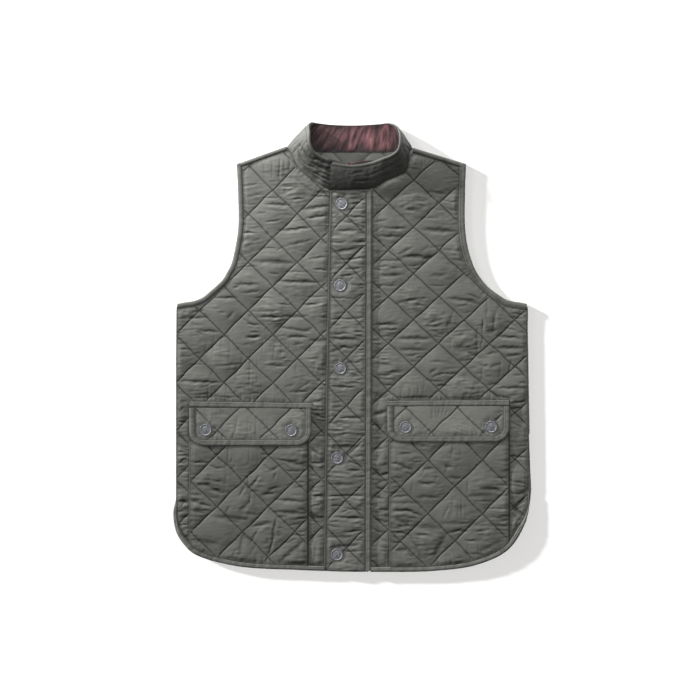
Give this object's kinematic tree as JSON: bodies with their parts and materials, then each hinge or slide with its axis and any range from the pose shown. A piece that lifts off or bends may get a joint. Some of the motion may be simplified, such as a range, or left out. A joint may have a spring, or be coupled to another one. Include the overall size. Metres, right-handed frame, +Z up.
{
  "type": "quilted vest",
  "caption": "Sleeveless diamond-quilted vest laid flat, with a stand collar, snap storm flap, bound edges and flapped patch pockets.",
  "frame": {"origin": "on the surface that the vest lies on, under the middle of its outline", "axes": "+X to the right and +Y to the collar as seen from above the front, +Z up from the surface"},
  "size_m": [0.5385, 0.6754, 0.0395],
  "materials": {
    "nylon": "smooth grey-green nylon with a slight sheen",
    "corduroy": "fine-wale burgundy corduroy",
    "gunmetal": "satin blue-grey"
  },
  "bodies": {
    "root": {"back_panel": "nylon", "front_left": "nylon", "front_right": "nylon", "armhole_binding_left": "nylon", "armhole_binding_right": "nylon", "hem_binding_back": "nylon", "hem_binding_left": "nylon", "hem_binding_right": "nylon", "placket": "nylon", "placket_fold": "nylon", "pocket_left": "nylon", "pocket_welt_left": "nylon", "pocket_flap_left": "nylon", "flap_binding_left": "nylon", "pocket_right": "nylon", "pocket_welt_right": "nylon", "pocket_flap_right": "nylon", "flap_binding_right": "nylon", "collar": "nylon", "collar_lining": "corduroy", "snap_placket_1": "gunmetal", "snap_placket_2": "gunmetal", "snap_placket_3": "gunmetal", "snap_placket_4": "gunmetal", "snap_placket_5": "gunmetal", "snap_flap_left_1": "gunmetal", "snap_flap_left_2": "gunmetal", "snap_flap_right_1": "gunmetal", "snap_flap_right_2": "gunmetal"}
  },
  "joints": []
}
